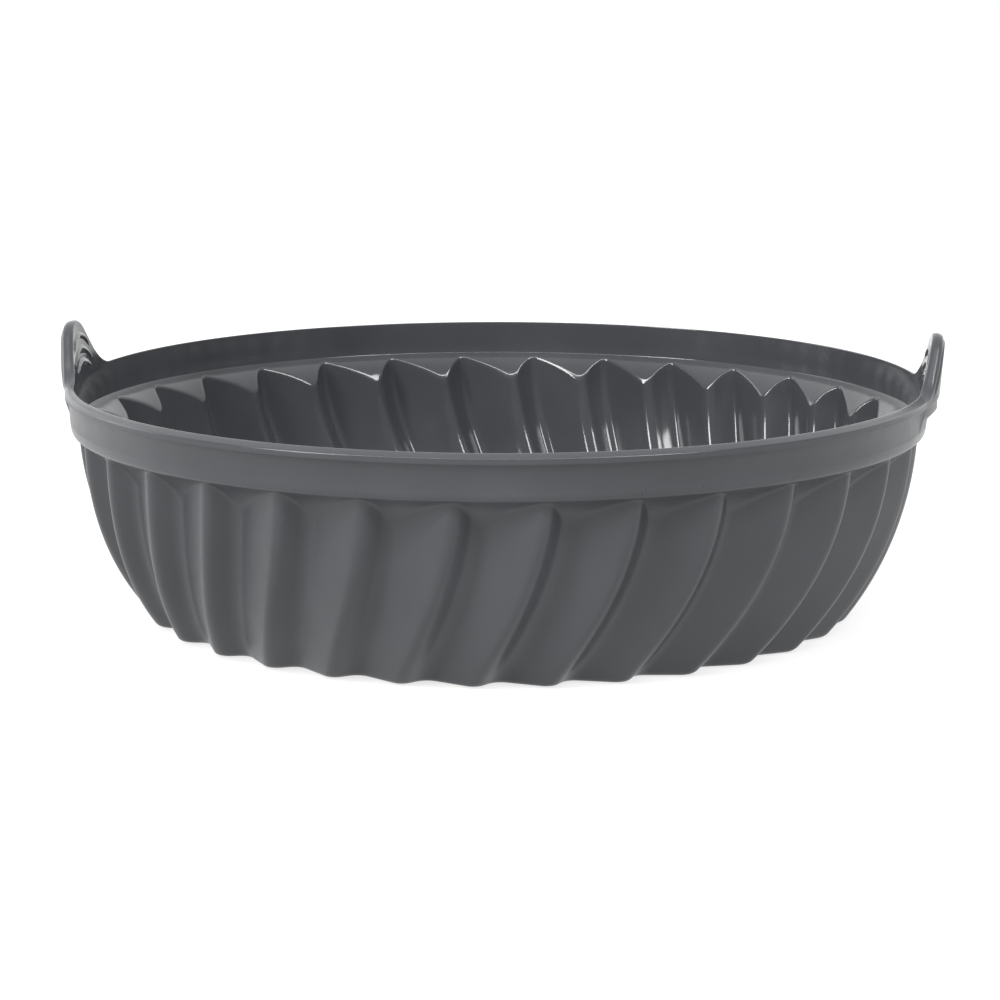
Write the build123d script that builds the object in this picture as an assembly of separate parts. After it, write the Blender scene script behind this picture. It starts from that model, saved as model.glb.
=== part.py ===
from build123d import *
from math import atan2, cos, pi, radians, sin, sqrt, tan
import os

# A round fluted brioche mould, 240 mm across, that stands on its flat base.
# One silicone moulding holds the dough. A steel wire ring inside its lip keeps the rim round.
# The origin is the middle of the base, Z points up, and the two ears lie on the X axis.
# Lengths are in millimetres and angles in degrees.

# Whole mould
RIM_DIAMETER = 240.0
BOWL_HEIGHT = 65.0
WALL = 1.7

# Wire ring, and the lip that is moulded round it
WIRE_DIAMETER = 1.2
WIRE_COVER = 0.62
LIP_BEVEL = 0.75
LIP_ROUNDING = 0.4

# Collar, the smooth band between the lip and the shoulder
COLLAR_DEPTH = 9.9
COLLAR_DRAFT = 3.0
COLLAR_EDGE_RADIUS = 0.6

# Shoulder, the rounded ledge from the collar in to the pleats
SHOULDER_WALL = 2.6
SHOULDER_SLOPE = 24.0
SHOULDER_TUCK = 2.2

# Pleats
PLEAT_COUNT = 32
PLEAT_STEP = 1.5
PLEAT_DEPTH = 6.6
LONG_FLANK_SHARE = 0.74
PLEAT_TURN = 0.34
CREST_RADIUS = 3.0
POCKET_RADIUS = 2.4
GROOVE_RADIUS = 2.2
SWIRL = 9.3
SWIRL_GROWTH = 1.9
BASE_DRAW_IN = 18.8
CORNER_RADIUS = 1.8
WALL_SECTIONS = 8
CORNER_SECTIONS = 3

# Ears, with grip ribs on the inside and a thumb pad on the outside
EAR_RISE = 15.0
EAR_CROWN_RADIUS = 10.0
EAR_ROOT_RADIUS = 14.0
EAR_SIDE_SLOPE = 48.0
EAR_LEAN = 8.0
EAR_BACK_LEAN = 4.5
EAR_BACK_RADIUS = 70.0
EAR_PROUD = 1.6
EAR_GUSSET = 3.4
EAR_SET_IN = 0.15
EAR_MARGIN = 2.2
RIB_COUNT = 3
RIB_PITCH = 3.8
RIB_WIDTH = 1.3
RIB_ARC_RADIUS = 14.0
RIB_DROP = 4.2
RIB_RELIEF = 0.5
PAD_RELIEF = 0.5

# Lip and wire, worked out from the ridge of the lip inwards and downwards
lip_width = WIRE_DIAMETER + 2 * WIRE_COVER
lip_height = lip_width + LIP_BEVEL / 2
lip_inner_radius = RIM_DIAMETER / 2 - LIP_ROUNDING
lip_outer_radius = lip_inner_radius + lip_width
wire_ring_radius = lip_inner_radius + lip_width / 2
lip_foot = BOWL_HEIGHT - lip_height
wire_level = lip_foot + WIRE_COVER + WIRE_DIAMETER / 2

# Shoulder: an arc that starts at the ledge corner and ends upright inside the pleats
ledge_level = BOWL_HEIGHT - COLLAR_DEPTH
ledge_radius = lip_inner_radius - COLLAR_DEPTH * tan(radians(COLLAR_DRAFT))
shoulder_radius = (PLEAT_STEP + PLEAT_DEPTH + SHOULDER_TUCK) / (1 - sin(radians(SHOULDER_SLOPE)))
shoulder_centre_radius = ledge_radius + shoulder_radius * sin(radians(SHOULDER_SLOPE))
shoulder_centre_level = ledge_level - shoulder_radius * cos(radians(SHOULDER_SLOPE))

# Crest line of the pleats outside: one arc, upright at the ledge, then the base corner
crest_top_radius = ledge_radius - PLEAT_STEP + WALL
bow_radius = (ledge_level**2 + BASE_DRAW_IN**2) / (2 * BASE_DRAW_IN)
bow_centre_radius = crest_top_radius - bow_radius
corner_radius = CORNER_RADIUS + WALL
corner_drop = ledge_level - corner_radius
corner_centre_radius = bow_centre_radius + sqrt((bow_radius - corner_radius) ** 2 - corner_drop**2)
corner_sweep = atan2(corner_centre_radius - bow_centre_radius, corner_drop)

pleat_pitch = 2 * pi / PLEAT_COUNT


def collar_radius(level, wall):
    """Radius of the drafted collar at a level: wall is 0 inside the bowl and WALL outside."""
    return lip_inner_radius - (BOWL_HEIGHT - level) * tan(radians(COLLAR_DRAFT)) + wall


def swirl_at(level):
    """How far, in radians, the pleats have turned clockwise on their way down to a level."""
    share_down = 1 - level / ledge_level
    return -radians(SWIRL) * share_down**SWIRL_GROWTH


def crest_stations(inset):
    """Levels and crest radii from the base up, on the surface that lies inset inside the outside."""
    rounding = corner_radius - inset
    stations = []
    for step in range(CORNER_SECTIONS):
        turn = corner_sweep * step / CORNER_SECTIONS
        stations.append((corner_radius - rounding * cos(turn), corner_centre_radius + rounding * sin(turn)))
    wall_foot = corner_radius - rounding * cos(corner_sweep)
    for step in range(WALL_SECTIONS + 1):
        level = wall_foot + (ledge_level - wall_foot) * step / WALL_SECTIONS
        reach = sqrt((bow_radius - inset) ** 2 - (ledge_level - level) ** 2)
        stations.append((level, bow_centre_radius + reach))
    return stations


def pleat_corners(level, crest_radius):
    """Corner points of one sawtooth section, counter-clockwise: crest, groove, crest and so on."""
    corners = []
    for index in range(PLEAT_COUNT):
        crest_angle = index * pleat_pitch + radians(PLEAT_TURN) + swirl_at(level)
        groove_angle = crest_angle + (1 - LONG_FLANK_SHARE) * pleat_pitch
        groove_radius = crest_radius - PLEAT_DEPTH
        corners.append(Vector(crest_radius * cos(crest_angle), crest_radius * sin(crest_angle), level))
        corners.append(Vector(groove_radius * cos(groove_angle), groove_radius * sin(groove_angle), level))
    return corners


def round_corner(before, corner, after, radius):
    """Start, middle and end points of the arc that rounds a corner between two straight sides."""
    back = (before - corner).normalized()
    ahead = (after - corner).normalized()
    half_angle = radians(back.get_angle(ahead)) / 2
    tangent_length = radius / tan(half_angle)
    inward = (back + ahead).normalized()
    middle = corner + inward * (radius / sin(half_angle) - radius)
    return corner + back * tangent_length, middle, corner + ahead * tangent_length


def pleat_section(level, crest_radius, inset):
    """Closed outline of the pleats at a level, with rounded crests and grooves."""
    corners = pleat_corners(level, crest_radius)
    count = len(corners)
    crest_rounding = CREST_RADIUS + (POCKET_RADIUS - CREST_RADIUS) * inset / WALL
    arcs = []
    for index in range(count):
        is_crest = index % 2 == 0
        radius = crest_rounding if is_crest else GROOVE_RADIUS + inset
        arcs.append(round_corner(corners[index - 1], corners[index], corners[(index + 1) % count], radius))
    edges = []
    for index, (start, middle, end) in enumerate(arcs):
        edges.append(Edge.make_three_point_arc(start, middle, end))
        edges.append(Edge.make_line(end, arcs[(index + 1) % count][0]))
    return Wire(edges)


def pleated_body(inset):
    """Solid inside the pleated surface, from the base or floor up to the ledge."""
    sections = [pleat_section(level, radius, inset) for level, radius in crest_stations(inset)]
    return Solid.make_loft(sections)


def shoulder_point(slope, wall):
    """Point of the shoulder's arc where it slopes down by that angle, in the XZ plane."""
    radius = shoulder_radius - wall
    return Vector(
        shoulder_centre_radius - radius * sin(radians(slope)),
        0,
        shoulder_centre_level + radius * cos(radians(slope)),
    )


def spin(edges):
    """Solid of revolution about Z of a closed outline in the XZ plane."""
    return Solid.revolve(Face(Wire(edges)), 360, Axis.Z)


def outline(points):
    """Straight edges through the points, in order."""
    return [Edge.make_line(start, end) for start, end in zip(points, points[1:])]


def shoulder_arc(wall, start_slope, end_slope):
    """Arc of the shoulder between two slopes."""
    middle_slope = (start_slope + end_slope) / 2
    points = [shoulder_point(slope, wall) for slope in (start_slope, middle_slope, end_slope)]
    return Edge.make_three_point_arc(*points)


def rounded_line(corners):
    """Edges along the corners, each given as a point and the radius that rounds it."""
    edges = []
    start = corners[0][0]
    for index in range(1, len(corners) - 1):
        corner, radius = corners[index]
        into, middle, out_of = round_corner(corners[index - 1][0], corner, corners[index + 1][0], radius)
        edges.append(Edge.make_line(start, into))
        edges.append(Edge.make_three_point_arc(into, middle, out_of))
        start = out_of
    edges.append(Edge.make_line(start, corners[-1][0]))
    return edges


def collar_corner():
    """Corner outside where the collar's face meets the tangent of the shoulder's start."""
    arc_start = shoulder_point(SHOULDER_SLOPE, SHOULDER_WALL)
    slope = tan(radians(SHOULDER_SLOPE))
    draft = tan(radians(COLLAR_DRAFT))
    rise = (collar_radius(arc_start.Z, WALL) - arc_start.X) * slope / (1 - draft * slope)
    level = arc_start.Z + rise
    return Vector(collar_radius(level, WALL), 0, level)


def rim_shell():
    """Lip, collar and shoulder as one turned ring."""
    lip_face_top = Vector(lip_outer_radius, 0, BOWL_HEIGHT - LIP_BEVEL)
    lip_face_foot = Vector(lip_outer_radius, 0, lip_foot)
    under_lip = Vector(collar_radius(lip_foot, WALL), 0, lip_foot)
    edges = [shoulder_arc(0, 90, SHOULDER_SLOPE)]
    edges += rounded_line([
        (shoulder_point(SHOULDER_SLOPE, 0), 0),
        (Vector(collar_radius(BOWL_HEIGHT, 0), 0, BOWL_HEIGHT), LIP_ROUNDING),
        (lip_face_top, LIP_ROUNDING),
        (lip_face_foot, LIP_ROUNDING / 2),
        (under_lip, LIP_ROUNDING / 2),
        (collar_corner(), COLLAR_EDGE_RADIUS),
        (shoulder_point(SHOULDER_SLOPE, SHOULDER_WALL), 0),
    ])
    edges.append(shoulder_arc(SHOULDER_WALL, SHOULDER_SLOPE, 90))
    edges.append(Edge.make_line(shoulder_point(90, SHOULDER_WALL), shoulder_point(90, 0)))
    return spin(edges)


def space_over_shoulder():
    """Space over the middle of the shoulder's wall, which trims the tops of the pleats."""
    buried = WALL / 2
    start = shoulder_point(0, buried)
    end = shoulder_point(90, buried)
    points = [end, Vector(0, 0, end.Z), Vector(0, 0, BOWL_HEIGHT), Vector(start.X, 0, BOWL_HEIGHT), start]
    return spin([shoulder_arc(buried, 0, 90)] + outline(points))


def ear_outline(margin):
    """Outline of the ear at +X, in the YZ plane: a crown, two straight sides and two flared roots."""
    slope = radians(EAR_SIDE_SLOPE)
    crown = EAR_CROWN_RADIUS - margin
    root = EAR_ROOT_RADIUS + margin
    top = BOWL_HEIGHT + EAR_RISE - margin
    foot = BOWL_HEIGHT - LIP_BEVEL - LIP_ROUNDING - margin
    drop = top - foot - (crown + root) * (1 - cos(slope))
    half_width = (crown + root) * sin(slope) + drop / tan(slope)
    crown_end = (crown * sin(slope), top - crown * (1 - cos(slope)))
    root_start = (half_width - root * sin(slope), foot + root * (1 - cos(slope)))
    root_middle = (half_width - root * sin(slope / 2), foot + root * (1 - cos(slope / 2)))
    bottom = lip_foot - EAR_GUSSET

    def at(side, place):
        return Vector(0, side * place[0], place[1])

    return Wire([
        Edge.make_three_point_arc(at(-1, crown_end), Vector(0, 0, top), at(1, crown_end)),
        Edge.make_line(at(1, crown_end), at(1, root_start)),
        Edge.make_three_point_arc(at(1, root_start), at(1, root_middle), at(1, (half_width, foot))),
        Edge.make_line(at(1, (half_width, foot)), at(1, (half_width, bottom))),
        Edge.make_line(at(1, (half_width, bottom)), at(-1, (half_width, bottom))),
        Edge.make_line(at(-1, (half_width, bottom)), at(-1, (half_width, foot))),
        Edge.make_three_point_arc(at(-1, (half_width, foot)), at(-1, root_middle), at(-1, root_start)),
        Edge.make_line(at(-1, root_start), at(-1, crown_end)),
    ])


def block_through(wire):
    """The outline carried outwards from the axis, past the ear."""
    return Solid.extrude(Face(wire), Vector(RIM_DIAMETER, 0, 0))


def above(level):
    """Everything above a level, as far as the part reaches."""
    corner = (Align.CENTER, Align.CENTER, Align.MIN)
    return Pos(0, 0, level) * Box(2 * RIM_DIAMETER, 2 * RIM_DIAMETER, RIM_DIAMETER, align=corner)


def ear_front(relief):
    """Space in front of the ear's inner face, over the bowl: a leaning cone that stands on the collar."""
    low = lip_foot - 2 * EAR_GUSSET
    top = BOWL_HEIGHT + 2 * EAR_RISE
    face = collar_radius(wire_level, EAR_SET_IN) - relief
    buried = WALL / 3
    points = [
        Vector(0, 0, low),
        Vector(collar_radius(low, buried), 0, low),
        Vector(collar_radius(wire_level, buried), 0, wire_level),
        Vector(face, 0, wire_level),
        Vector(face + (top - wire_level) * tan(radians(EAR_LEAN)), 0, top),
        Vector(0, 0, top),
        Vector(0, 0, low),
    ]
    return spin(outline(points))


def ear_back(relief):
    """Space inside the ear's outer face: more curved than the rim, with a sloping gusset below."""
    low = lip_foot - EAR_GUSSET
    top = BOWL_HEIGHT + 2 * EAR_RISE
    back = EAR_BACK_RADIUS + relief
    centre = lip_outer_radius + EAR_PROUD - EAR_BACK_RADIUS
    buried = WALL / 3
    points = [
        Vector(0, 0, low),
        Vector(collar_radius(low, WALL - buried) - centre, 0, low),
        Vector(back, 0, lip_foot),
        Vector(back + (top - lip_foot) * tan(radians(EAR_BACK_LEAN)), 0, top),
        Vector(0, 0, top),
        Vector(0, 0, low),
    ]
    return Pos(centre, 0, 0) * spin(outline(points))


def grip_rib(index):
    """One arched grip rib on the ear's inner face, counted from the top one."""
    peak = BOWL_HEIGHT + EAR_RISE - RIB_PITCH * (index + 1)
    arch = Circle(RIB_ARC_RADIUS) - Circle(RIB_ARC_RADIUS - RIB_WIDTH)
    strip = extrude(Plane.YZ * Pos(0, peak - RIB_ARC_RADIUS) * arch, amount=RIM_DIAMETER)
    foot = max(peak - RIB_DROP, BOWL_HEIGHT + RIB_WIDTH)
    trimmed = strip & block_through(ear_outline(EAR_MARGIN)) & above(foot)
    return (trimmed & ear_back(0)) - ear_front(RIB_RELIEF)


def ear():
    """Ear at +X: it grows out of the lip and leans outwards, with its ribs and its pad."""
    tab = (block_through(ear_outline(0)) & ear_back(0)) - ear_front(0)
    pad = (block_through(ear_outline(EAR_MARGIN)) & above(lip_foot) & ear_back(PAD_RELIEF)) - ear_front(0)
    return tab + pad + [grip_rib(index) for index in range(RIB_COUNT)]


def wire_ring():
    """Steel wire ring that lies in the lip all the way round."""
    return Pos(0, 0, wire_level) * Solid.make_torus(wire_ring_radius, WIRE_DIAMETER / 2)


def rim_with_ears():
    """The rim with both ears, hollow where the wire ring lies."""
    right_ear = ear()
    left_ear = Rot(0, 0, 180) * right_ear
    return rim_shell() + right_ear + left_ear - wire_ring()


def mould_body():
    """The whole silicone moulding."""
    outside = pleated_body(0) - space_over_shoulder()
    return (rim_with_ears() + outside) - pleated_body(WALL)


def main():
    os.makedirs("parts", exist_ok=True)
    export_step(mould_body(), "parts/mould_body.step")
    export_step(wire_ring(), "parts/rim_ring.step")


main()
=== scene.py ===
from math import atan2, cos, pi, radians, sin, sqrt, tan

import bpy
import numpy as np
from mathutils import Matrix, Vector


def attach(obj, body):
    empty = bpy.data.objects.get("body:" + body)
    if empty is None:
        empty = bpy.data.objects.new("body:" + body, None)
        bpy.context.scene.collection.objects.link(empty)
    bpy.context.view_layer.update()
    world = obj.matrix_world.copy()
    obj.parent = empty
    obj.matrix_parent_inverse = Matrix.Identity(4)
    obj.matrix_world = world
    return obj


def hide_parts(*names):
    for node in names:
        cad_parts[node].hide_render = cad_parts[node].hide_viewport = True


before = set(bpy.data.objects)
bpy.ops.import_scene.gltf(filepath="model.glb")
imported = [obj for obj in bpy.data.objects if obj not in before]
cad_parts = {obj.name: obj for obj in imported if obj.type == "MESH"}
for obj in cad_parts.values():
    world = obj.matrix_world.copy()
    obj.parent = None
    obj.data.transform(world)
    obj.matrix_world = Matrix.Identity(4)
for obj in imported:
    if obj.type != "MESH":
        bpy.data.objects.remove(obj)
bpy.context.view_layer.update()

# The brioche mould of the photograph: dark grey silicone, satin outside and glossy inside.
# The moulding is one fine mesh that stands for the CAD solid, with the soft edges of silicone.
# Sizes of the mould are in millimetres, as in the part's source. MM turns them into metres.
MM = 0.001

# Whole mould
RIM_DIAMETER = 240.0
BOWL_HEIGHT = 65.0
WALL = 1.7

# Lip with the wire in it, and the collar below it
WIRE_DIAMETER = 1.2
WIRE_COVER = 0.62
LIP_HEIGHT = 2.8
LIP_BEVEL = 1.2
LIP_ROUNDING = 0.4
LIP_SOFTNESS = 0.35
UNDER_LIP_SOFTNESS = 0.1
COLLAR_DEPTH = 9.9
COLLAR_DRAFT = 3.0
COLLAR_EDGE_SOFTNESS = 2.4
SHOULDER_EDGE_SOFTNESS = 0.7
LEDGE_CORNER_SOFTNESS = 0.25

# Shoulder from the collar in to the pleats
SHOULDER_WALL = 2.6
SHOULDER_SLOPE = 24.0
SHOULDER_TUCK = 2.2

# Pleats
PLEAT_COUNT = 32
PLEAT_STEP = 1.5
PLEAT_DEPTH = 6.6
LONG_FLANK_SHARE = 0.74
PLEAT_TURN = 0.34
CREST_RADIUS = 3.0
POCKET_RADIUS = 2.4
GROOVE_RADIUS = 4.2
RIDGE_RADIUS = 3.6
FLANK_BOW = 0.15
SWIRL = 9.3
SWIRL_GROWTH = 1.9
BASE_DRAW_IN = 18.8
CORNER_RADIUS = 1.8
POCKET_EDGE_SOFTNESS = 0.7
UNDER_SHOULDER_SOFTNESS = 1.1

# Ears, their grip ribs inside and their thumb pads outside
EAR_RISE = 15.0
EAR_CROWN_RADIUS = 10.0
EAR_ROOT_RADIUS = 12.0
EAR_SIDE_SLOPE = 48.0
EAR_LEAN = 8.0
EAR_BACK_LEAN = 4.5
EAR_BACK_RADIUS = 70.0
EAR_PROUD = 1.6
EAR_GUSSET = 6.0
EAR_TAPER = 3.4
EAR_SOFTNESS = 1.35
EAR_FULL_RISE = 6.0
EAR_MARGIN = 2.2
EAR_MERGE = 0.3
RIB_COUNT = 3
RIB_PITCH = 3.8
RIB_WIDTH = 1.4
RIB_ARC_RADIUS = 14.0
RIB_DROP = 4.2
RIB_RELIEF = 0.4
PAD_RELIEF = 0.5
PAD_EDGE = 0.7

# How finely the mesh follows each stretch
PLEAT_POINTS = (5, 4, 5, 6)
EAR_PLEAT_POINTS = (9, 12, 6, 33)
COARSE_STEP = 3
BASE_ROW_SHARES = (0.0, 0.3, 0.6, 0.8, 0.93)
CORNER_ROWS = 5
WALL_ROWS = 20
ROUND_ROWS = 5
SHOULDER_ROWS = 4
COLLAR_ROWS = 2
LIP_ROWS = 2
GUSSET_ROWS = 8
EAR_ROWS = 36
EAR_ROWS_TO_ONE = 10
TOP_PASSES = 6

# How much wear and polish the edges have, from 0 to 1. Their lighter colour is partly real wear and
# partly a painted highlight.
LIP_WEAR_AND_HIGHLIGHT = 1.0
COLLAR_EDGE_WEAR_AND_HIGHLIGHT = 0.5

lip_width = WIRE_DIAMETER + 2 * WIRE_COVER
lip_inner_radius = RIM_DIAMETER / 2 - LIP_ROUNDING
lip_outer_radius = lip_inner_radius + lip_width
lip_foot = BOWL_HEIGHT - LIP_HEIGHT
wire_level = lip_foot + WIRE_COVER + WIRE_DIAMETER / 2
ledge_level = BOWL_HEIGHT - COLLAR_DEPTH
draft = tan(radians(COLLAR_DRAFT))
ledge_radius = lip_inner_radius - COLLAR_DEPTH * draft
shoulder_slope = radians(SHOULDER_SLOPE)
shoulder_radius = (PLEAT_STEP + PLEAT_DEPTH + SHOULDER_TUCK) / (1 - sin(shoulder_slope))
shoulder_centre_radius = ledge_radius + shoulder_radius * sin(shoulder_slope)
shoulder_centre_level = ledge_level - shoulder_radius * cos(shoulder_slope)
crest_top_radius = ledge_radius - PLEAT_STEP + WALL
bow_radius = (ledge_level**2 + BASE_DRAW_IN**2) / (2 * BASE_DRAW_IN)
bow_centre_radius = crest_top_radius - bow_radius
corner_radius = CORNER_RADIUS + WALL
corner_drop = ledge_level - corner_radius
corner_centre_radius = bow_centre_radius + sqrt((bow_radius - corner_radius) ** 2 - corner_drop**2)
corner_sweep = atan2(corner_centre_radius - bow_centre_radius, corner_drop)
pleat_pitch = 2 * pi / PLEAT_COUNT


def smooth_step(value):
    """0 below 0, 1 above 1 and an even turn between."""
    value = np.clip(value, 0, 1)
    return value * value * (3 - 2 * value)


def smooth_max(first, second, blend):
    """The larger of two lengths, rounded over where they meet."""
    return (first + second) / 2 + np.sqrt(((first - second) / 2) ** 2 + (blend / 2) ** 2)


class Columns:
    """The mesh's columns: each follows one point of the pleats' outline up the mould."""

    def __init__(self):
        pleat, piece, share, fine, coarse = [], [], [], [], []
        for index in range(PLEAT_COUNT):
            by_ear = index % (PLEAT_COUNT // 2) in (0, PLEAT_COUNT // 2 - 1)
            for number, points in enumerate(EAR_PLEAT_POINTS if by_ear else PLEAT_POINTS):
                for point in range(points):
                    pleat.append(index)
                    piece.append(number)
                    share.append(point / points)
                    fine.append(by_ear)
                    kept = not by_ear or point % COARSE_STEP == 0
                    coarse.append(len(coarse) if kept else coarse[-1])
        self.pleat = np.array(pleat)
        self.piece = np.array(piece)
        self.share = np.array(share)[:, None]
        self.by_ear = np.array(fine)
        self.coarse = np.array(coarse)
        self.count = len(pleat)


columns = Columns()


def swirl_at(level):
    """How far the pleats have turned clockwise on their way down to a level."""
    share_down = np.clip(1 - level / ledge_level, 0, None)
    return -radians(SWIRL) * share_down**SWIRL_GROWTH


def wall_crest(level, inset):
    """Radius of the crest line on the wall at a level."""
    return bow_centre_radius + np.sqrt((bow_radius - inset) ** 2 - (ledge_level - level) ** 2)


def unit(vectors):
    """Vectors of the same directions, one long."""
    return vectors / np.linalg.norm(vectors, axis=1, keepdims=True)


def corner_arc(before, corner, after, radius):
    """Start, end and centre of the arc that rounds each corner."""
    back = unit(before - corner)
    ahead = unit(after - corner)
    half_angle = np.arccos(np.clip((back * ahead).sum(1, keepdims=True), -1, 1)) / 2
    tangent_length = radius / np.tan(half_angle)
    centre = corner + unit(back + ahead) * radius / np.sin(half_angle)
    return corner + back * tangent_length, corner + ahead * tangent_length, centre


def arc_point(arc, share):
    """Point at a share of the way along each arc."""
    start, end, centre = arc
    first = start - centre
    last = end - centre
    cosine = (unit(first) * unit(last)).sum(1, keepdims=True)
    sweep = np.arccos(np.clip(cosine, -1, 1))
    return centre + (first * np.sin((1 - share) * sweep) + last * np.sin(share * sweep)) / np.sin(sweep)


def flank_point(start, end, share, bow):
    """Point at a share of the way along each flank, which bows outwards by a length in its middle."""
    along = end - start
    outwards = unit(np.stack([along[:, 1], -along[:, 0]], axis=1))
    return start + along * share + outwards * bow * 4 * share * (1 - share)


def pleat_outline(level, crest, inset):
    """X and Y of every column on the pleats' outline: level and crest are given for each column."""
    turn = radians(PLEAT_TURN) + swirl_at(level)

    def corner(index, is_crest):
        angle = (index + (0 if is_crest else 1 - LONG_FLANK_SHARE)) * pleat_pitch + turn
        radius = crest - (0 if is_crest else PLEAT_DEPTH)
        return np.stack([radius * np.cos(angle), radius * np.sin(angle)], axis=1)

    pleat, share = columns.pleat, columns.share
    crest_round = CREST_RADIUS + (POCKET_RADIUS - CREST_RADIUS) * inset / WALL
    groove_round = GROOVE_RADIUS + (RIDGE_RADIUS - GROOVE_RADIUS) * inset / WALL
    bow = FLANK_BOW * inset / WALL
    top, foot = corner(pleat, True), corner(pleat, False)
    next_top, next_foot = corner(pleat + 1, True), corner(pleat + 1, False)
    this_crest = corner_arc(corner(pleat - 1, False), top, foot, crest_round)
    groove = corner_arc(top, foot, next_top, groove_round)
    next_crest = corner_arc(foot, next_top, next_foot, crest_round)
    candidates = [
        arc_point(this_crest, share),
        flank_point(this_crest[1], groove[0], share, bow),
        arc_point(groove, share),
        flank_point(groove[1], next_crest[0], share, bow),
    ]
    chosen = [(columns.piece == number)[:, None] for number in range(len(candidates))]
    return np.select(chosen, candidates)


def shoulder_level(radius, wall):
    """Level of the shoulder's arc at a radius. Past its start it goes on along its tangent."""
    arc = shoulder_radius - wall
    start = shoulder_centre_radius - arc * sin(shoulder_slope)
    inside = np.minimum(radius, start)
    across = shoulder_centre_radius - inside
    level = shoulder_centre_level + np.sqrt(np.maximum(arc**2 - across**2, 0))
    return level + (radius - inside) * tan(shoulder_slope)


def at(radius, angle, level):
    """Points from their radius, angle and level."""
    radius, angle, level = np.broadcast_arrays(radius, angle, level)
    return np.stack([radius * np.cos(angle), radius * np.sin(angle), level], axis=1)


def with_level(outline, level):
    """Points of an outline, given their level."""
    return np.column_stack([outline, np.broadcast_to(level, len(outline))])


def rounded(first, corner, last, rows):
    """Rows of points on a soft curve from first to last, drawn towards the corner."""
    result = []
    for row in range(rows + 1):
        share = row / rows
        result.append(first * (1 - share) ** 2 + corner * 2 * share * (1 - share) + last * share**2)
    return result


def pleat_top(inset, wall):
    """Where each column's wall meets the shoulder: its level and its outline."""
    level = np.full(columns.count, ledge_level)
    for _ in range(TOP_PASSES):
        outline = pleat_outline(level, wall_crest(level, inset), inset)
        level = shoulder_level(np.hypot(*outline.T), wall)
    return level, outline


def pleated_rows(inset, wall, softness, reach):
    """Rows from the middle of the base or floor up the pleated wall and over its top edge.

    reach is the radius at which the shoulder ends. The last row lies on the shoulder.
    """
    rounding = corner_radius - inset
    foot = np.full(columns.count, corner_radius - rounding)
    base = pleat_outline(foot, np.full(columns.count, corner_centre_radius), inset)
    rows = [with_level(base * share, foot) for share in BASE_ROW_SHARES]
    for row in range(CORNER_ROWS):
        turn = corner_sweep * row / CORNER_ROWS
        level = np.full(columns.count, corner_radius - rounding * cos(turn))
        outline = pleat_outline(level, corner_centre_radius + rounding * sin(turn), inset)
        rows.append(with_level(outline, level))
    wall_foot = corner_radius - rounding * cos(corner_sweep)
    top, top_outline = pleat_top(inset, wall)
    top_radius = np.hypot(*top_outline.T)
    top_angle = np.arctan2(top_outline[:, 1], top_outline[:, 0])
    tangent = np.minimum(softness, (reach - top_radius) / 2)
    for row in range(WALL_ROWS):
        level = wall_foot + (top - tangent - wall_foot) * row / WALL_ROWS
        rows.append(with_level(pleat_outline(level, wall_crest(level, inset), inset), level))
    level = top - tangent
    first = with_level(pleat_outline(level, wall_crest(level, inset), inset), level)
    out = top_radius + tangent * cos(shoulder_slope)
    last = at(out, top_angle, shoulder_level(out, wall))
    return rows + rounded(first, with_level(top_outline, top), last, ROUND_ROWS)


def collar_radius(level):
    """Radius of the collar's inner face at a level."""
    return lip_inner_radius - (BOWL_HEIGHT - level) * draft


def ear_edge(offset):
    """Height of the ear's edge above the lip, and its slope, at a distance from the ear's middle."""
    offset = np.abs(offset)
    slope = radians(EAR_SIDE_SLOPE)
    straight_rise = EAR_RISE - (EAR_CROWN_RADIUS + EAR_ROOT_RADIUS) * (1 - cos(slope))
    half_width = (EAR_CROWN_RADIUS + EAR_ROOT_RADIUS) * sin(slope) + straight_rise / tan(slope)
    crown_end = EAR_CROWN_RADIUS * sin(slope)
    root_start = half_width - EAR_ROOT_RADIUS * sin(slope)
    on_crown = np.minimum(offset, crown_end)
    on_root = np.clip(half_width - offset, 0, EAR_ROOT_RADIUS)
    crown = EAR_RISE - EAR_CROWN_RADIUS + np.sqrt(EAR_CROWN_RADIUS**2 - on_crown**2)
    side = crown - (offset - crown_end) * tan(slope)
    root = EAR_ROOT_RADIUS - np.sqrt(EAR_ROOT_RADIUS**2 - on_root**2)
    crown_lean = np.arcsin(on_crown / EAR_CROWN_RADIUS)
    root_lean = np.arcsin(on_root / EAR_ROOT_RADIUS)
    stretches = [offset < crown_end, offset < root_start, offset < half_width]
    rise = np.select(stretches, [crown, side, root], 0)
    lean = np.select(stretches, [crown_lean, slope, root_lean], 0)
    return rise, lean


ledge_levels = np.full(columns.count, ledge_level)
middle_outline = pleat_outline(ledge_levels, np.full(columns.count, crest_top_radius), WALL / 2)
rim_angle = np.arctan2(middle_outline[:, 1], middle_outline[:, 0])
ear_offset = lip_inner_radius * np.sin(rim_angle)
ear_rise, edge_slope = ear_edge(ear_offset)
ear_share = smooth_step(ear_rise / EAR_FULL_RISE)


def in_margin(level):
    """1 well inside the ear's outline, 0 in the margin along its edge."""
    inside = (ear_rise - (level - BOWL_HEIGHT)) * np.cos(edge_slope) - EAR_MARGIN
    return smooth_step(inside / PAD_EDGE + 1 / 2)


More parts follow.
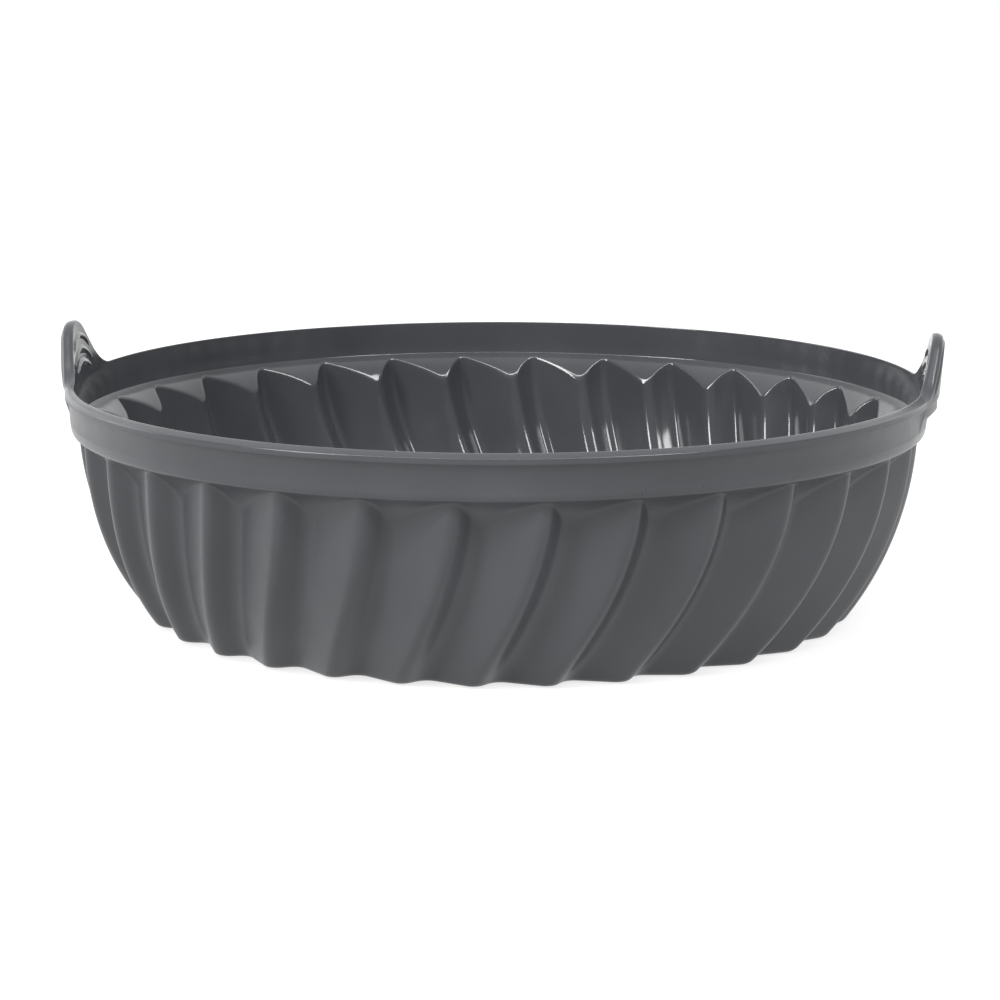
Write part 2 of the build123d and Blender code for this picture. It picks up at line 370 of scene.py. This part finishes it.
def grip_ribs(level):
    """How far the grip ribs stand out from the ear's inner face."""
    relief = np.zeros(columns.count)
    for index in range(RIB_COUNT):
        peak = BOWL_HEIGHT + EAR_RISE - RIB_PITCH * (index + 1)
        middle = peak - RIB_ARC_RADIUS
        distance = np.abs(np.hypot(ear_offset, level - middle) - (RIB_ARC_RADIUS - RIB_WIDTH / 2))
        ridge = smooth_step(2 * (1 - distance / (RIB_WIDTH / 2)))
        above_foot = smooth_step((level - (peak - RIB_DROP)) / RIB_WIDTH + 1 / 2)
        near = (np.abs(ear_offset) < RIB_ARC_RADIUS) & (level > middle)
        relief = np.maximum(relief, RIB_RELIEF * ridge * above_foot * near)
    return relief * in_margin(level) * smooth_step((level - BOWL_HEIGHT) / RIB_WIDTH)


def inner_face(level):
    """Radius of the rim's inner face: the collar, and above the wire the ear that leans outwards."""
    lean = draft + (tan(radians(EAR_LEAN)) - draft) * ear_share
    above = np.maximum(level - wire_level, 0)
    return collar_radius(np.minimum(level, wire_level)) + above * lean - grip_ribs(level)


def around_ear(radius):
    """Distance from the mould's axis of an upright cylinder's face that stands behind the ear."""
    centre = lip_outer_radius + EAR_PROUD - EAR_BACK_RADIUS
    across = centre * np.sin(rim_angle)
    return centre * np.abs(np.cos(rim_angle)) + np.sqrt(radius**2 - across**2)


def outer_face(level):
    """Radius of the lip's outer face, or of the ear's back and pad where they stand further out."""
    back = around_ear(EAR_BACK_RADIUS + (level - lip_foot) * tan(radians(EAR_BACK_LEAN)))
    pad = PAD_RELIEF * in_margin(level) * ear_share * smooth_step((level - lip_foot) / PAD_EDGE)
    return smooth_max(lip_outer_radius, back, EAR_MERGE) + pad


def under_ear(level):
    """Radius of the collar's outer face, or of the gusset that carries the ear."""
    low = lip_foot - EAR_GUSSET
    centre = lip_outer_radius + EAR_PROUD - EAR_BACK_RADIUS
    low_radius = collar_radius(low) + WALL - WALL / 3 - centre
    share = np.minimum((level - low) / EAR_TAPER, 1)
    gusset = around_ear(low_radius + (EAR_BACK_RADIUS - low_radius) * share)
    return smooth_max(collar_radius(level) + WALL, gusset, EAR_MERGE)


class Rows:
    """Rows of points from the middle of the base, over the lip, to the middle of the floor."""

    def __init__(self):
        self.points = []
        self.detail = []
        self.fine = []
        self.inside = []
        self.worn = []

    def add(self, rows, detail=False, fine=False, inside=False, worn=0.0):
        for number, row in enumerate(rows):
            self.points.append(row)
            self.detail.append(detail and number % EAR_ROWS_TO_ONE != 0)
            self.fine.append(fine)
            self.inside.append(inside)
            self.worn.append(worn)


def spread(start, end, rows):
    """Evenly spread values from start up to, but not including, end."""
    return [start + (end - start) * row / rows for row in range(rows)]


def shoulder_rows(edge, out_radius, wall):
    """Rows along the shoulder from the pleats' top edge out to where they meet the rim's columns."""
    radius = np.hypot(edge[:, 0], edge[:, 1])
    angle = np.arctan2(edge[:, 1], edge[:, 0])
    turn = np.mod(rim_angle - angle + pi, 2 * pi) - pi
    rows = []
    for row in range(1, SHOULDER_ROWS + 1):
        share = row / SHOULDER_ROWS
        reach = radius + (out_radius - radius) * share
        rows.append(at(reach, angle + turn * share, shoulder_level(reach, wall)))
    return rows


def outside_rows(rows):
    """The base, the pleated wall and the shoulder outside, and the collar up to the gussets."""
    arc_start = shoulder_centre_radius - (shoulder_radius - SHOULDER_WALL) * sin(shoulder_slope)
    start_level = float(shoulder_level(arc_start, SHOULDER_WALL))
    slope = tan(shoulder_slope)
    rise = (collar_radius(start_level) + WALL - arc_start) * slope / (1 - draft * slope)
    corner_level = start_level + rise
    corner = collar_radius(corner_level) + WALL
    out = corner - SHOULDER_EDGE_SOFTNESS
    body = pleated_rows(0, SHOULDER_WALL, UNDER_SHOULDER_SOFTNESS, out)
    rows.add(body)
    shoulder = shoulder_rows(body[-1], out, SHOULDER_WALL)
    rows.add(shoulder)
    end_level = corner_level + COLLAR_EDGE_SOFTNESS
    end = at(collar_radius(end_level) + WALL, rim_angle, end_level)
    edge = rounded(shoulder[-1], at(corner, rim_angle, corner_level), end, ROUND_ROWS)
    # The collar's lower edge takes half the wear value: a little glossier, and lighter in colour, partly
    # as wear and partly as a painted highlight.
    rows.add(edge[1:], worn=COLLAR_EDGE_WEAR_AND_HIGHLIGHT)
    gusset_start = lip_foot - EAR_GUSSET - EAR_MERGE
    levels = spread(end_level, gusset_start, COLLAR_ROWS)[1:]
    rows.add([at(collar_radius(level) + WALL, rim_angle, level) for level in levels])
    return gusset_start


def rim_rows(rows, gusset_start):
    """The gussets, the lip and the two ears, from the outside over the top to the inside."""
    soft = UNDER_LIP_SOFTNESS * (1 + ear_share)
    levels = spread(gusset_start, lip_foot - soft, GUSSET_ROWS)
    rows.add([at(under_ear(level), rim_angle, level) for level in levels], detail=True, fine=True)
    below = at(under_ear(lip_foot - soft), rim_angle, lip_foot - soft)
    foot_in = at(under_ear(lip_foot), rim_angle, lip_foot)
    foot_out = at(outer_face(lip_foot), rim_angle, lip_foot)
    face = at(outer_face(lip_foot + soft), rim_angle, lip_foot + soft)
    middle = (foot_in + foot_out) / 2
    rows.add(rounded(below, foot_in, middle, ROUND_ROWS - 2), fine=True)
    rows.add(rounded(middle, foot_out, face, ROUND_ROWS - 2)[1:-1], fine=True)

    stretch = 1 / np.cos(edge_slope)
    arris_level = BOWL_HEIGHT + ear_rise - LIP_BEVEL * (1 - ear_share / 2)
    ridge_level = BOWL_HEIGHT + ear_rise
    arris_soft = LIP_SOFTNESS + (EAR_SOFTNESS - LIP_SOFTNESS) * ear_share
    arris = at(outer_face(arris_level), rim_angle, arris_level)
    ridge = at(inner_face(ridge_level), rim_angle, ridge_level)
    face_end = arris_level - arris_soft * stretch
    levels = spread(lip_foot + soft, face_end, EAR_ROWS)
    rows.add([at(outer_face(level), rim_angle, level) for level in levels], detail=True, fine=True)
    across = unit(ridge - arris)
    face_top = at(outer_face(face_end), rim_angle, face_end)
    over_arris = arris + across * arris_soft[:, None]
    # The arris and the ridge take the lip's wear value: glossier, and lighter in colour, partly as wear
    # and partly as a painted highlight line. The bevel between takes none, so a darker band stays
    # between the two lines.
    rows.add(rounded(face_top, arris, over_arris, ROUND_ROWS), fine=True, worn=LIP_WEAR_AND_HIGHLIGHT)
    ridge_soft = LIP_SOFTNESS + (EAR_SOFTNESS - LIP_SOFTNESS) * ear_share / 2
    before_ridge = ridge - across * ridge_soft[:, None]
    inner_start = ridge_level - ridge_soft * stretch
    below_ridge = at(inner_face(inner_start), rim_angle, inner_start)
    rows.add(spread(over_arris, before_ridge, LIP_ROWS)[1:], fine=True)
    edge = rounded(before_ridge, ridge, below_ridge, ROUND_ROWS)
    rows.add(edge[:-1], fine=True, inside=True, worn=LIP_WEAR_AND_HIGHLIGHT)
    foot = np.full(columns.count, lip_foot)
    levels = spread(inner_start, foot, EAR_ROWS)
    inner = [at(inner_face(level), rim_angle, level) for level in levels]
    rows.add(inner, detail=True, fine=True, inside=True)
    rows.add([at(inner_face(foot), rim_angle, foot)], fine=True, inside=True)


def inside_rows(rows):
    """The collar, the shoulder, the pockets and the floor inside."""
    corner_start = ledge_level + LEDGE_CORNER_SOFTNESS
    levels = spread(lip_foot, corner_start, COLLAR_ROWS)[1:]
    rows.add([at(collar_radius(level), rim_angle, level) for level in levels], inside=True)
    first = at(collar_radius(corner_start), rim_angle, corner_start)
    out = ledge_radius - LEDGE_CORNER_SOFTNESS * cos(shoulder_slope)
    body = pleated_rows(WALL, 0, POCKET_EDGE_SOFTNESS, ledge_radius)
    shoulder = shoulder_rows(body[-1], out, 0)
    corner = at(ledge_radius, rim_angle, ledge_level)
    rows.add(rounded(first, corner, shoulder[-1], ROUND_ROWS), inside=True)
    rows.add(shoulder[-2::-1], inside=True)
    rows.add(body[::-1], inside=True)


def mesh_data(rows):
    """Vertices, faces, material numbers and map places of the mould."""
    row_count, column_count = len(rows.points), columns.count
    kept_row = np.arange(row_count)
    for row in range(1, row_count):
        if rows.detail[row]:
            kept_row[row] = kept_row[row - 1]
    fine_row = np.array(rows.fine)
    row_index = np.where(columns.by_ear[None, :], np.arange(row_count)[:, None], kept_row[:, None])
    column_index = np.where(fine_row[:, None], np.arange(column_count)[None, :], columns.coarse[None, :])
    column_index[0, :] = 0
    column_index[-1, :] = 0
    ids = row_index * column_count + column_index
    following = np.roll(ids, -1, axis=1)
    quads = np.stack([ids[:-1], following[:-1], following[1:], ids[1:]], axis=-1).reshape(-1, 4)
    points = np.stack(rows.points)
    steps = np.linalg.norm(np.diff(points, axis=0), axis=2).mean(1)
    along = np.concatenate([[0], np.cumsum(steps)]) / steps.sum()
    around = np.arange(column_count + 1) / column_count
    inside = np.repeat(np.array(rows.inside[:-1]), column_count)
    faces, materials, places = [], [], []
    for number, quad in enumerate(quads.tolist()):
        kept = [corner for corner in range(4) if quad[corner] != quad[corner - 1]]
        if len(kept) < 3:
            continue
        faces.append([quad[corner] for corner in kept])
        materials.append(int(inside[number]))
        row, column = divmod(number, column_count)
        corners = [(column, row), (column + 1, row), (column + 1, row + 1), (column, row + 1)]
        places += [(around[corners[corner][0]], along[corners[corner][1]]) for corner in kept]
    used, numbers = np.unique(np.concatenate([np.array(face) for face in faces]), return_inverse=True)
    counts = np.cumsum([0] + [len(face) for face in faces])
    numbers = numbers.tolist()
    faces = [numbers[counts[index] : counts[index + 1]] for index in range(len(faces))]
    vertices = points.reshape(-1, 3)[used] * MM
    worn = np.repeat(np.array(rows.worn), column_count)[used]
    return vertices.tolist(), faces, materials, np.array(places), worn


def mould():
    """The silicone moulding as one closed mesh."""
    rows = Rows()
    rim_rows(rows, outside_rows(rows))
    inside_rows(rows)
    vertices, faces, materials, places, worn = mesh_data(rows)
    mesh = bpy.data.meshes.new("silicone_moulding")
    mesh.from_pydata(vertices, [], faces)
    mesh.uv_layers.new(name="OFBake").data.foreach_set("uv", places.ravel())
    mesh.attributes.new("worn", "FLOAT", "POINT").data.foreach_set("value", worn)
    mesh.materials.append(silicone("silicone_satin", SATIN))
    mesh.materials.append(silicone("silicone_gloss", GLOSS))
    mesh.polygons.foreach_set("material_index", materials)
    mesh.polygons.foreach_set("use_smooth", [True] * len(faces))
    mesh.update()
    piece = bpy.data.objects.new("silicone_moulding", mesh)
    bpy.context.collection.objects.link(piece)
    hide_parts("mould_body")
    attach(piece, "root")
    return piece


class Finish:
    """The numbers that tell one silicone surface from another."""

    def __init__(self, colour, shine, roughness, roughness_swing, grain_scale, grain_depth, wave_depth):
        self.colour = colour
        self.shine = shine
        self.roughness = roughness
        self.roughness_swing = roughness_swing
        self.grain_scale = grain_scale
        self.grain_depth = grain_depth
        self.wave_depth = wave_depth


# Finishes. Scales are in turns of the pattern for each metre, and depths are in metres
SILICONE_IOR = 1.42
SATIN = Finish((0.042, 0.0445, 0.049), 0.5, 0.36, 0.08, 2600.0, 0.000012, 0.00006)
GLOSS = Finish((0.045, 0.0475, 0.052), 0.7, 0.12, 0.05, 1500.0, 0.000002, 0.00005)
CLOUD_SCALE = 28.0
SMEAR_SCALE = 140.0
WAVE_SCALE = 55.0
CLOUD_CONTRAST = 0.12
# How much lighter the colour grows along the marked edges: partly real wear, partly a painted highlight
WEAR_AND_HIGHLIGHT_LIFT = 0.10
WORN_POLISH = 0.4
STEEL_COLOUR = (0.55, 0.55, 0.56, 1.0)
STEEL_SMOOTH = 0.25
STEEL_DULL = 0.4
STEEL_GRAIN_SCALE = 1500.0
STEEL_GRAIN_DEPTH = 0.000012

# The range that most of a noise pattern lies in, and how rich each pattern is
NOISE_LOW = 0.3
NOISE_HIGH = 0.7
NOISE_DETAIL = 4.0
NOISE_ROUGHNESS = 0.55
SMEAR_DETAIL = 6.0
SMEAR_ROUGHNESS = 0.65
WAVE_DETAIL = 1.0
GRAIN_DETAIL = 2.0


def node(tree, kind, **settings):
    """A new shader node with its settings."""
    made = tree.nodes.new(kind)
    for name, value in settings.items():
        setattr(made, name, value)
    return made


def noise(tree, place, scale, detail=NOISE_DETAIL, roughness=NOISE_ROUGHNESS):
    """A noise pattern of the object's own space."""
    pattern = node(tree, "ShaderNodeTexNoise")
    pattern.inputs["Scale"].default_value = scale
    pattern.inputs["Detail"].default_value = detail
    pattern.inputs["Roughness"].default_value = roughness
    tree.links.new(place, pattern.inputs["Vector"])
    return pattern.outputs["Fac"]


def mapped(tree, value, low, high, to_low, to_high):
    """A value moved from one range to another."""
    made = node(tree, "ShaderNodeMapRange")
    limits = {"From Min": low, "From Max": high, "To Min": to_low, "To Max": to_high}
    for name, limit in limits.items():
        made.inputs[name].default_value = limit
    tree.links.new(value, made.inputs["Value"])
    return made.outputs["Result"]


def added(tree, first, second, operation="ADD"):
    """Two values added, or joined by another operation."""
    made = node(tree, "ShaderNodeMath", operation=operation)
    tree.links.new(first, made.inputs[0])
    tree.links.new(second, made.inputs[1])
    return made.outputs[0]


def bumped(tree, height, depth, normal=None):
    """A bump of that depth in metres."""
    made = node(tree, "ShaderNodeBump")
    made.inputs["Distance"].default_value = depth
    tree.links.new(height, made.inputs["Height"])
    if normal is not None:
        tree.links.new(normal, made.inputs["Normal"])
    return made.outputs["Normal"]


def silicone(name, finish):
    """Dark silicone: soft clouds in its colour, smears in its gloss, fine grain and faint waves. Marked
    edges are glossier and lighter; the lighter colour is partly real wear and partly a painted
    highlight.
    """
    material = bpy.data.materials.new(name)
    material.use_nodes = True
    tree = material.node_tree
    shader = tree.nodes["Principled BSDF"]
    place = node(tree, "ShaderNodeTexCoord").outputs["Object"]
    clouds = noise(tree, place, CLOUD_SCALE)
    smears = noise(tree, place, SMEAR_SCALE, SMEAR_DETAIL, SMEAR_ROUGHNESS)
    waves = noise(tree, place, WAVE_SCALE, WAVE_DETAIL)
    grain = noise(tree, place, finish.grain_scale, GRAIN_DETAIL)
    worn = node(tree, "ShaderNodeAttribute", attribute_name="worn").outputs["Fac"]

    # Colour: random clouds of tone, lighter along the marked edges, which is partly wear and partly a
    # painted highlight
    lift = added(
        tree,
        mapped(tree, clouds, NOISE_LOW, NOISE_HIGH, 1 - CLOUD_CONTRAST, 1 + CLOUD_CONTRAST),
        mapped(tree, worn, 0.0, 1.0, 1.0, 1 + WEAR_AND_HIGHLIGHT_LIFT),
        "MULTIPLY",
    )
    tint = node(tree, "ShaderNodeMix", data_type="RGBA", blend_type="MULTIPLY")
    tint.inputs["Factor"].default_value = 1.0
    tint.inputs["A"].default_value = (*finish.colour, 1.0)
    tree.links.new(lift, tint.inputs["B"])
    tree.links.new(tint.outputs["Result"], shader.inputs["Base Color"])

    smooth = finish.roughness - finish.roughness_swing / 2
    rough = finish.roughness + finish.roughness_swing / 2
    dull = mapped(tree, smears, NOISE_LOW, NOISE_HIGH, smooth, rough)
    polish = mapped(tree, worn, 0.0, 1.0, 1.0, 1 - WORN_POLISH)
    tree.links.new(added(tree, dull, polish, "MULTIPLY"), shader.inputs["Roughness"])

    wavy = bumped(tree, waves, finish.wave_depth)
    tree.links.new(bumped(tree, grain, finish.grain_depth, wavy), shader.inputs["Normal"])
    shader.inputs["IOR"].default_value = SILICONE_IOR
    shader.inputs["Specular IOR Level"].default_value = finish.shine
    return material


def ring_steel():
    """Bright spring wire, drawn lengthways, which the lip hides."""
    material = bpy.data.materials.new("drawn_steel")
    material.use_nodes = True
    tree = material.node_tree
    shader = tree.nodes["Principled BSDF"]
    place = node(tree, "ShaderNodeTexCoord").outputs["Object"]
    streaks = noise(tree, place, STEEL_GRAIN_SCALE)
    dull = mapped(tree, streaks, NOISE_LOW, NOISE_HIGH, STEEL_SMOOTH, STEEL_DULL)
    shader.inputs["Base Color"].default_value = STEEL_COLOUR
    shader.inputs["Metallic"].default_value = 1.0
    tree.links.new(dull, shader.inputs["Roughness"])
    tree.links.new(bumped(tree, streaks, STEEL_GRAIN_DEPTH), shader.inputs["Normal"])
    return material


# The photograph's view: where its camera stood, found from the rim, the ledge and the pleats
VIEW_TURN = 5.6
VIEW_ELEVATION = 8.793
VIEW_DISTANCE = 879.83
VIEW_SIDEWAYS = 0.4625
VIEW_PITCH = 11.043
VIEW_ROLL = 0.065
VIEW_LENS = 111.405
SENSOR_WIDTH = 36.0
VIEW_REACH = 20.0


def camera():
    """The camera at the photograph's angle, distance and lens."""
    data = bpy.data.cameras.new("camera")
    data.sensor_width = SENSOR_WIDTH
    data.lens = VIEW_LENS
    data.clip_end = VIEW_REACH
    made = bpy.data.objects.new("camera", data)
    bpy.context.collection.objects.link(made)
    elevation, pitch, roll = radians(VIEW_ELEVATION), radians(VIEW_PITCH), radians(VIEW_ROLL)
    level = BOWL_HEIGHT + VIEW_DISTANCE * sin(elevation)
    place = Vector((VIEW_SIDEWAYS, -VIEW_DISTANCE * cos(elevation), level))
    right = Vector((1, 0, 0))
    ahead = Vector((0, cos(pitch), -sin(pitch)))
    up = right.cross(ahead)
    rolled_right = right * cos(roll) + up * sin(roll)
    rolled_up = up * cos(roll) - right * sin(roll)
    axes = Matrix((rolled_right, rolled_up, -ahead)).transposed().to_4x4()
    turn = Matrix.Rotation(radians(VIEW_TURN), 4, "Z")
    made.matrix_world = turn @ Matrix.Translation(place * MM) @ axes
    bpy.context.scene.camera = made


# Studio light: each softbox's azimuth (0 is the camera's side, positive to its right) and elevation
# in degrees, its width and height in metres, and the light that it throws on the mould in watts for
# each square metre
SOFTBOXES = {
    "left_strip": (-55.0, 32.0, 0.6, 1.6, 3.0),
    "left_back": (-112.0, 14.0, 1.2, 1.2, 0.6),
    "right_strip": (49.0, 47.0, 0.6, 1.5, 2.0),
    "overhead": (-12.0, 60.0, 2.6, 0.3, 2.1),
}
SOFTBOX_DISTANCE = 2.5
SURROUND_FRONT = 0.3
SURROUND_BACK = 1.4
SURROUND_START = -0.3
SURROUND_END = 0.9
WHITE = (1.0, 1.0, 1.0, 1.0)
FLOOR_COLOUR = (0.25, 0.25, 0.25, 1.0)
FLOOR_GLOW = 0.75
FLOOR_ROUGHNESS = 0.9
FLOOR_HALF_WIDTH = 8.0
FLOOR_GAP = 0.2


def softbox(name, azimuth, elevation, width, height, light):
    """A rectangular softbox that faces the mould."""
    data = bpy.data.lights.new(name, "AREA")
    data.shape = "RECTANGLE"
    data.size = width
    data.size_y = height
    data.energy = light * pi * SOFTBOX_DISTANCE**2
    made = bpy.data.objects.new(name, data)
    bpy.context.collection.objects.link(made)
    turn, rise = radians(azimuth + VIEW_TURN - 90), radians(elevation)
    away = Vector((cos(rise) * cos(turn), cos(rise) * sin(turn), sin(rise)))
    made.location = away * SOFTBOX_DISTANCE
    made.rotation_euler = away.to_track_quat("Z", "Y").to_euler()


def white_floor():
    """A plain white floor that reaches past the top of the picture."""
    mesh = bpy.data.meshes.new("studio_floor")
    half = FLOOR_HALF_WIDTH
    corners = [(-half, -half, 0), (half, -half, 0), (half, half, 0), (-half, half, 0)]
    mesh.from_pydata(corners, [], [range(len(corners))])
    floor = bpy.data.objects.new("studio_floor", mesh)
    floor.location.z = -FLOOR_GAP * MM
    bpy.context.collection.objects.link(floor)
    material = bpy.data.materials.new("studio_white")
    material.use_nodes = True
    shader = material.node_tree.nodes["Principled BSDF"]
    shader.inputs["Base Color"].default_value = FLOOR_COLOUR
    shader.inputs["Roughness"].default_value = FLOOR_ROUGHNESS
    shader.inputs["Emission Color"].default_value = WHITE
    shader.inputs["Emission Strength"].default_value = FLOOR_GLOW
    mesh.materials.append(material)


def studio():
    """White floor, pale surroundings and softboxes."""
    world = bpy.data.worlds.new("studio")
    world.use_nodes = True
    tree = world.node_tree
    background = tree.nodes["Background"]
    background.inputs["Color"].default_value = WHITE
    towards_back = node(tree, "ShaderNodeVectorMath", operation="DOT_PRODUCT")
    tree.links.new(node(tree, "ShaderNodeTexCoord").outputs["Generated"], towards_back.inputs[0])
    turn = radians(VIEW_TURN)
    towards_back.inputs[1].default_value = (-sin(turn), cos(turn), 0.0)
    facing = towards_back.outputs["Value"]
    strength = mapped(tree, facing, SURROUND_START, SURROUND_END, SURROUND_FRONT, SURROUND_BACK)
    tree.links.new(strength, background.inputs["Strength"])
    bpy.context.scene.world = world
    white_floor()
    for name, settings in SOFTBOXES.items():
        softbox(name, *settings)
    bpy.context.scene.view_settings.view_transform = "Standard"


mould()
steel = ring_steel()
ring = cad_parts["rim_ring"]
for slot in ring.material_slots:
    slot.material = steel
camera()
studio()
